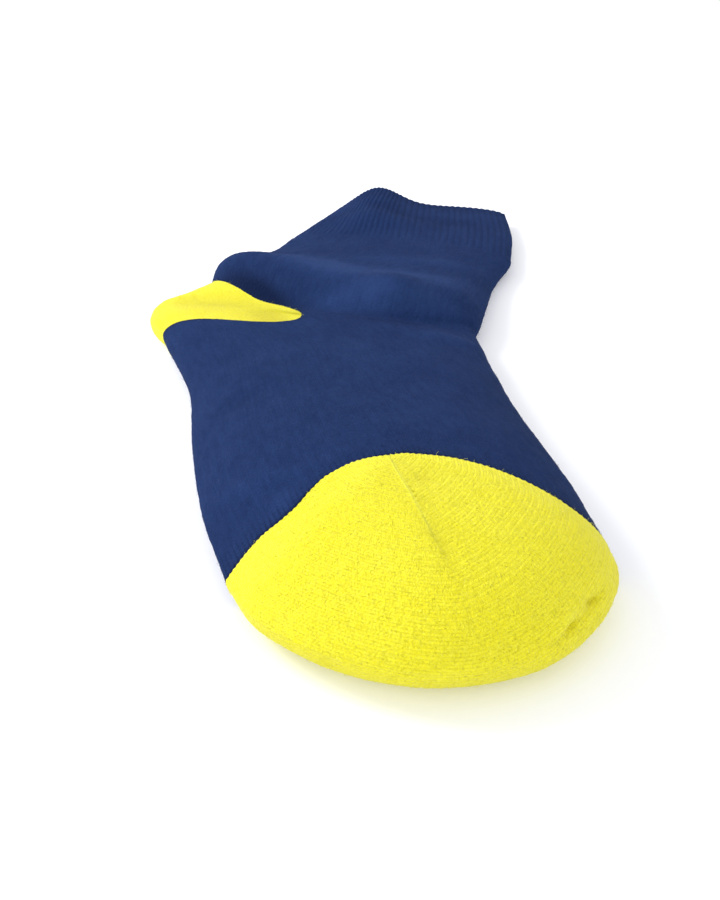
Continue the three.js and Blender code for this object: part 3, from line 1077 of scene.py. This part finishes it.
class SockCloth(PropertyGroup):
    """Sizes of the cloth and its stitches, in millimetres where they are lengths."""
    wall: number("Wall", "Thickness of the cloth", 2.2, min=0.5, max=4)
    side_wales: IntProperty(
        name="Wales on a side", description="Columns of loops from the crest to under it", default=74)
    columns_per_wale: number("Columns for each wale", "Fineness of the mesh round the sock", 3.3)
    toe_columns_per_wale: number("Toe columns", "Fineness of the mesh over the toe", 4.4)
    course_pitch: number("Course pitch", "Height of one row of loops", 1.3)
    row_step: number("Row step", "Fineness of the mesh along the sock", 0.62)
    relief: number("Relief", "Height of a wale over the gap beside it", 0.1)
    rib_wales: number("Rib", "Wales in one rib and its gap", 2.0)
    rib_height: number("Rib height", "Depth of the cuff's ribs", 0.38)
    rib_rise: number("Rib rise", "Length over which the ribs begin", 3.0)


class SockLooks(PropertyGroup):
    """Colours of the yarns."""
    navy: colour("Navy", "Navy yarn", 0.0102, 0.0260, 0.095)
    # The fibre colour is also what the painted light of the folds and the gore mixes toward
    navy_light: colour("Navy fibres", "Light fibres on the navy", 0.021, 0.047, 0.150)
    # The gap colour is painted shade in the gaps between loops, the creases, the seams and the gore's
    # holes
    navy_shadow: colour("Navy gaps", "Gaps between the navy loops", 0.0045, 0.0115, 0.046)
    yellow: colour("Yellow", "Lemon yellow yarn", 0.975, 0.895, 0.014)
    # The fibre colour is also what the painted light of the folds and the gore mixes toward
    yellow_light: colour("Yellow fibres", "Light fibres on the yellow", 0.985, 0.955, 0.085)
    # The gap colour is painted shade in the gaps between loops, the creases, the seams and the gore's
    # holes
    yellow_shadow: colour("Yellow gaps", "Gaps between the yellow loops", 0.66, 0.575, 0.004)


class SockStage(PropertyGroup):
    """The table, the light and the camera."""
    floor_colour: colour("Table", "Pale table", 0.80, 0.81, 0.86)
    floor_glow: number("Table glow", "Light that comes up through the table", 0.22)
    key_power: number("Key light", "Power of the light behind on the left", 6.0, unit="POWER")
    fill_power: number("Fill light", "Power of the light in front", 1.0, unit="POWER")
    sky: number("Sky", "Strength of the light all round", 0.96)
    camera_height: number("Camera height", "Height over the table", 0.176, unit="LENGTH")
    camera_back: number("Camera distance", "Distance in front of the sock's middle", 0.3511, unit="LENGTH")
    camera_side: number("Camera side", "Distance to the right of the middle", 0.0049, unit="LENGTH")
    camera_dip: number("Camera dip", "Angle under the horizon", math.radians(31.1), subtype="ANGLE")
    lens: number("Lens", "Focal length in millimetres", 40.0)


# Pieces

# Loose fibres: how many on a square centimetre, and their length, thickness and lift
TOE_FIBRES = (75.0, 1.1, 0.035, 0.22)
HEEL_FIBRES = (50.0, 1.1, 0.035, 0.22)
NAVY_FIBRES = (30.0, 1.1, 0.03, 0.2)
CUFF_FIBRES = (20.0, 1.0, 0.03, 0.15)
# Square centimetres in a square metre
SQUARE_METRE = 1e4
# Lowest height over the table at which loose fibres stand
FIBRE_FLOOR = 1.5
# Middle and tip of a fibre's arc: shares of its length along and aside, and of its lift
FIBRE_MIDDLE = (0.35, 0.3, 1.0)
FIBRE_TIP = (1.0, 0.0, 0.4)
# Steps along a fibre's arc and round it, and its least and greatest size
FIBRE_STEPS = 3
FIBRE_SIZES = (0.5, 1.5)
# Least and most that a fibre leans and turns
FIBRE_TURN_LEAST = (-0.2, -0.35, 0.0)
FIBRE_TURN_MOST = (0.2, 0.15, 2 * math.pi)


def fibre_tree():
    """Geometry nodes that lay loose curved fibres at random over the outer face of a piece."""
    tree = bpy.data.node_groups.new("Loose fibres", "GeometryNodeTree")
    sockets = (
        ("Geometry", "Geometry"), ("Fibres for each square metre", "Float"), ("Length", "Float"),
        ("Thickness", "Float"), ("Lift", "Float"), ("Seed", "Int"), ("Yarn", "Material"))
    for label, kind in sockets:
        tree.interface.new_socket(label, in_out="INPUT", socket_type="NodeSocket" + kind)
    tree.interface.new_socket("Geometry", in_out="OUTPUT", socket_type="NodeSocketGeometry")
    start, end = tree.nodes.new("NodeGroupInput"), tree.nodes.new("NodeGroupOutput")
    given = start.outputs

    def scaled(name, share):
        return math_node(tree, "MULTIPLY", given[name], share)

    outer = add_node(tree, "GeometryNodeInputNamedAttribute", {"Name": "outer"}, data_type="BOOLEAN")
    place = add_node(tree, "GeometryNodeInputPosition")
    split = add_node(tree, "ShaderNodeSeparateXYZ", {0: place.outputs[0]})
    lifted = add_node(tree, "FunctionNodeCompare", {"A": split.outputs["Z"], "B": FIBRE_FLOOR * MM},
                      operation="GREATER_THAN")
    both = add_node(tree, "FunctionNodeBooleanMath", {
        0: outer.outputs["Attribute"], 1: lifted.outputs["Result"]})
    scatter = add_node(tree, "GeometryNodeDistributePointsOnFaces", {
        "Mesh": given["Geometry"], "Selection": both.outputs[0],
        "Density": given["Fibres for each square metre"], "Seed": given["Seed"]})
    middle, tip = (
        add_node(tree, "ShaderNodeCombineXYZ", {
            "X": scaled("Length", along), "Y": scaled("Length", aside), "Z": scaled("Lift", up)})
        for along, aside, up in (FIBRE_MIDDLE, FIBRE_TIP))
    arc = add_node(tree, "GeometryNodeCurveQuadraticBezier", {
        "Resolution": FIBRE_STEPS, "Start": (0.0, 0.0, 0.0),
        "Middle": middle.outputs[0], "End": tip.outputs[0]})
    profile = add_node(tree, "GeometryNodeCurvePrimitiveCircle", {
        "Resolution": FIBRE_STEPS, "Radius": scaled("Thickness", 0.5)})
    strand = add_node(tree, "GeometryNodeCurveToMesh", {
        "Curve": arc.outputs["Curve"], "Profile Curve": profile.outputs["Curve"], "Fill Caps": True})
    turn = add_node(tree, "FunctionNodeRandomValue", {
        "Min": FIBRE_TURN_LEAST, "Max": FIBRE_TURN_MOST, "Seed": given["Seed"]}, data_type="FLOAT_VECTOR")
    euler = add_node(tree, "FunctionNodeEulerToRotation", {"Euler": turn.outputs["Value"]})
    rotation = add_node(tree, "FunctionNodeRotateRotation", {
        "Rotation": scatter.outputs["Rotation"], "Rotate By": euler.outputs["Rotation"]},
        rotation_space="LOCAL")
    size = add_node(tree, "FunctionNodeRandomValue", {
        "Min": FIBRE_SIZES[0], "Max": FIBRE_SIZES[1], "Seed": given["Seed"]})
    put = add_node(tree, "GeometryNodeInstanceOnPoints", {
        "Points": scatter.outputs["Points"], "Instance": strand.outputs["Mesh"],
        "Rotation": rotation.outputs["Rotation"], "Scale": size.outputs["Value"]})
    real = add_node(tree, "GeometryNodeRealizeInstances", {"Geometry": put.outputs["Instances"]})
    dyed = add_node(tree, "GeometryNodeSetMaterial", {
        "Geometry": real.outputs["Geometry"], "Material": given["Yarn"]})
    feed(tree, end, {"Geometry": dyed.outputs["Geometry"]})
    return tree


def lay_fibres(piece, name, values):
    """A new piece: the loose fibres that stand on a knitted one."""
    tree = bpy.data.node_groups.get("Loose fibres") or fibre_tree()
    carrier = bpy.data.objects.new(name, piece.data)
    bpy.context.collection.objects.link(carrier)
    modifier = carrier.modifiers.new("fibres", "NODES")
    modifier.node_group = tree
    for item in tree.interface.items_tree:
        if item.in_out == "INPUT" and item.name in values:
            modifier[item.identifier] = values[item.name]
    evaluated = carrier.evaluated_get(bpy.context.evaluated_depsgraph_get())
    mesh = bpy.data.meshes.new_from_object(evaluated)
    mesh.name = name
    carrier.modifiers.remove(modifier)
    carrier.data = mesh
    return carrier


def finish_piece(shell, name, material, nodes, fibres):
    """Makes a knitted piece and its loose fibres, attaches both to the body, and hides the parts it
    replaces.
    """
    piece = shell.piece(name, material)
    drop_unused(piece)
    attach(piece, BODY)
    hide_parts(*nodes)
    loose = lay_fibres(piece, name + "_fibres", fibres)
    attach(loose, BODY)


def fibre_values(sizes, seed, name, colour):
    """Values for the loose fibres: a number for each square centimetre, and sizes in millimetres."""
    amount, length, thickness, lift = sizes
    return {
        "Fibres for each square metre": amount * SQUARE_METRE, "Length": length * MM,
        "Thickness": thickness * MM, "Lift": lift * MM, "Seed": seed,
        "Yarn": cached_material(name, fibre_material, colour),
    }


def everywhere(signed):
    """Columns that meet another colour: all of them."""
    return np.ones(signed.shape)


def nowhere(signed):
    """Columns that meet another colour: none."""
    return np.zeros(signed.shape)


def left_only(signed):
    """Columns that meet another colour: those on the left side, where the heel is."""
    return (signed < 0).astype(float)


def end_rings(rows, steps, cloth, shares, start, end, inset):
    """Points of a tube's first and last ring, where other pieces meet it."""
    signed = whole_ring(shares)
    shift = edge_shift(rows, signed, steps, cloth, start(signed), end(signed))[[0, -1]]
    points = tube_grid(rows, np.array([0.0, 1.0]), shares, shift, inset)
    if inset > 0:
        return points
    near = np.array([0.0, NEAR_END, 1 - NEAR_END, 1.0])
    normals = grid_normals(tube_grid(rows, near, shares, shift[[0, 0, 1, 1]]), closed=True)[[0, 3]]
    height = wale_relief(signed * cloth.side_wales, cloth) * rest_fade(points)
    return points + normals * height[..., None]


def split_ring(ring):
    """The left half of a ring and its right half, each from the crest outwards."""
    middle = len(ring) // 2
    return ring[middle::-1], ring[middle:]


def toe_seams(cloth, shares, inset):
    """Both halves of the foot's first ring, where the toe meets it."""
    rings = end_rings(FOOT_SECTIONS, 2 * HEEL_FOOT_ROWS, cloth, shares, everywhere, nowhere, inset)
    return split_ring(rings[0])


def heel_seams(cloth, shares, inset):
    """Left halves of the leg's first ring and of the foot's last one, where the heel meets them."""
    leg = end_rings(LEG_SECTIONS, 2 * HEEL_LEG_ROWS, cloth, shares, left_only, nowhere, inset)[0]
    foot = end_rings(FOOT_SECTIONS, 2 * HEEL_FOOT_ROWS, cloth, shares, nowhere, left_only, inset)[1]
    return split_ring(leg)[0], split_ring(foot)[0]


class SOCK_OT_toe(Operator):
    """Knits the yellow toe pocket with its gore"""
    bl_idname = "sock.toe"
    bl_label = "Toe"

    def execute(self, context):
        cloth, looks = context.scene.sock_cloth, context.scene.sock_looks
        shares = side_shares(cloth, cloth.toe_columns_per_wale)
        seams = {"outer": toe_seams(cloth, shares, 0.0), "inner": toe_seams(cloth, shares, cloth.wall)}
        shell = pocket_shell(pocket_side(FOOT_SECTIONS, TOE_RIM), seams, cloth, TOE_RAYS, shares,
                             toe_knit, toe_relief, TOE_CREASES, TOE_REACH)
        finish_piece(shell, "toe_knit", yellow_cloth(looks), ["toe"],
                     fibre_values(TOE_FIBRES, 1, "yellow_fibres", looks.yellow_light))
        return {"FINISHED"}


class SOCK_OT_foot(Operator):
    """Knits the navy foot"""
    bl_idname = "sock.foot"
    bl_label = "Foot"

    def execute(self, context):
        cloth, looks = context.scene.sock_cloth, context.scene.sock_looks
        shell = tube_shell(FOOT_SECTIONS, cloth, everywhere, left_only, FOOT_CREASES, navy_relief)
        finish_piece(shell, "foot_knit", navy_cloth(looks, "navy_jersey"), ["foot"],
                     fibre_values(NAVY_FIBRES, 2, "navy_fibres", looks.navy_light))
        return {"FINISHED"}


class SOCK_OT_heel(Operator):
    """Knits the yellow heel pocket"""
    bl_idname = "sock.heel"
    bl_label = "Heel"

    def execute(self, context):
        cloth, looks = context.scene.sock_cloth, context.scene.sock_looks
        shares = side_shares(cloth, cloth.columns_per_wale)
        seams = {"outer": heel_seams(cloth, shares, 0.0), "inner": heel_seams(cloth, shares, cloth.wall)}
        shell = pocket_shell(pocket_side(LEG_SECTIONS, HEEL_RIM), seams, cloth, HEEL_RAYS, shares,
                             heel_knit, heel_relief, HEEL_CREASES, HEEL_REACH)
        finish_piece(shell, "heel_knit", yellow_cloth(looks), ["heel"],
                     fibre_values(HEEL_FIBRES, 3, "yellow_fibres", looks.yellow_light))
        return {"FINISHED"}


class SOCK_OT_leg(Operator):
    """Knits the navy leg"""
    bl_idname = "sock.leg"
    bl_label = "Leg"

    def execute(self, context):
        cloth, looks = context.scene.sock_cloth, context.scene.sock_looks
        shell = tube_shell(LEG_SECTIONS, cloth, left_only, nowhere, LEG_CREASES, navy_relief)
        finish_piece(shell, "leg_knit", navy_cloth(looks, "navy_jersey"), ["leg"],
                     fibre_values(NAVY_FIBRES, 4, "navy_fibres", looks.navy_light))
        return {"FINISHED"}


class SOCK_OT_cuff(Operator):
    """Knits the ribbed cuff"""
    bl_idname = "sock.cuff"
    bl_label = "Cuff"

    def execute(self, context):
        cloth, looks = context.scene.sock_cloth, context.scene.sock_looks
        shell = tube_shell(CUFF_SECTIONS, cloth, nowhere, nowhere, CUFF_CREASES, cuff_relief)
        finish_piece(shell, "cuff_rib", navy_cloth(looks, "ribbed_navy"), ["cuff"],
                     fibre_values(CUFF_FIBRES, 5, "navy_fibres", looks.navy_light))
        return {"FINISHED"}


# Places of the two lights and the lengths of their sides, in metres
KEY_PLACE = (-0.72, 0.25, 0.58)
KEY_SIDE = 0.35
FILL_PLACE = (-0.6, -0.6, 0.45)
FILL_SIDE = 0.8
# Side of the table in metres, and width of the camera's sensor in millimetres
TABLE_SIDE = 8.0
SENSOR_WIDTH = 36.0


class SOCK_OT_stage(Operator):
    """Lays the pale table, and places the lights and the camera"""
    bl_idname = "sock.stage"
    bl_label = "Stage"

    def execute(self, context):
        stage = context.scene.sock_stage
        bpy.ops.mesh.primitive_plane_add(size=TABLE_SIDE)
        floor = context.active_object
        floor.name = "table"
        floor.data.materials.append(floor_material(stage.floor_colour, stage.floor_glow))
        world = bpy.data.worlds.new("soft_room")
        context.scene.world = world
        world.use_nodes = True
        background = world.node_tree.nodes["Background"]
        background.inputs["Color"].default_value = (1.0, 1.0, 1.0, 1.0)
        background.inputs["Strength"].default_value = stage.sky
        for name, place, side, power in (("key", KEY_PLACE, KEY_SIDE, stage.key_power),
                                         ("fill", FILL_PLACE, FILL_SIDE, stage.fill_power)):
            light = bpy.data.lights.new(name, "AREA")
            light.size = side
            light.energy = power
            lamp = bpy.data.objects.new(name, light)
            lamp.location = place
            lamp.rotation_euler = direction_euler(-np.array(place))
            context.collection.objects.link(lamp)
        lens = bpy.data.cameras.new("camera")
        lens.lens = stage.lens
        lens.sensor_width = SENSOR_WIDTH
        camera = bpy.data.objects.new("camera", lens)
        camera.location = (stage.camera_side, -stage.camera_back, stage.camera_height)
        camera.rotation_euler = (math.pi / 2 - stage.camera_dip, 0.0, 0.0)
        context.collection.objects.link(camera)
        context.scene.camera = camera
        context.scene.view_settings.view_transform = "Standard"
        return {"FINISHED"}


def direction_euler(way):
    """Rotation that turns a light's -Z axis to point along a direction."""
    return Vector(way.tolist()).to_track_quat("-Z", "Y").to_euler()


class SOCK_PT_panel(Panel):
    """Lists the settings and the pieces"""
    bl_label = "Waterproof sock"
    bl_idname = "SOCK_PT_panel"
    bl_space_type = "VIEW_3D"
    bl_region_type = "UI"
    bl_category = "Sock"

    def draw(self, context):
        column = self.layout.column()
        for operator in OPERATORS:
            column.operator(operator.bl_idname)
        for group in (context.scene.sock_cloth, context.scene.sock_looks, context.scene.sock_stage):
            box = self.layout.box()
            for name in group.bl_rna.properties.keys():
                if name not in {"rna_type", "name"}:
                    box.prop(group, name)


OPERATORS = (SOCK_OT_stage, SOCK_OT_toe, SOCK_OT_foot, SOCK_OT_heel, SOCK_OT_leg, SOCK_OT_cuff)
GROUPS = {"sock_cloth": SockCloth, "sock_looks": SockLooks, "sock_stage": SockStage}


def register():
    """Registers the settings, the operators and the panel."""
    for group in GROUPS.values():
        bpy.utils.register_class(group)
    for name, group in GROUPS.items():
        setattr(bpy.types.Scene, name, PointerProperty(type=group))
    for operator in OPERATORS:
        bpy.utils.register_class(operator)
    bpy.utils.register_class(SOCK_PT_panel)


def unregister():
    """Takes everything that was registered away again."""
    bpy.utils.unregister_class(SOCK_PT_panel)
    for operator in reversed(OPERATORS):
        bpy.utils.unregister_class(operator)
    for name in GROUPS:
        delattr(bpy.types.Scene, name)
    for group in reversed(GROUPS.values()):
        bpy.utils.unregister_class(group)


def main():
    """Makes the stage and the five pieces."""
    register()
    bpy.ops.sock.stage()
    bpy.ops.sock.toe()
    bpy.ops.sock.foot()
    bpy.ops.sock.heel()
    bpy.ops.sock.leg()
    bpy.ops.sock.cuff()


if __name__ == "__main__":
    main()
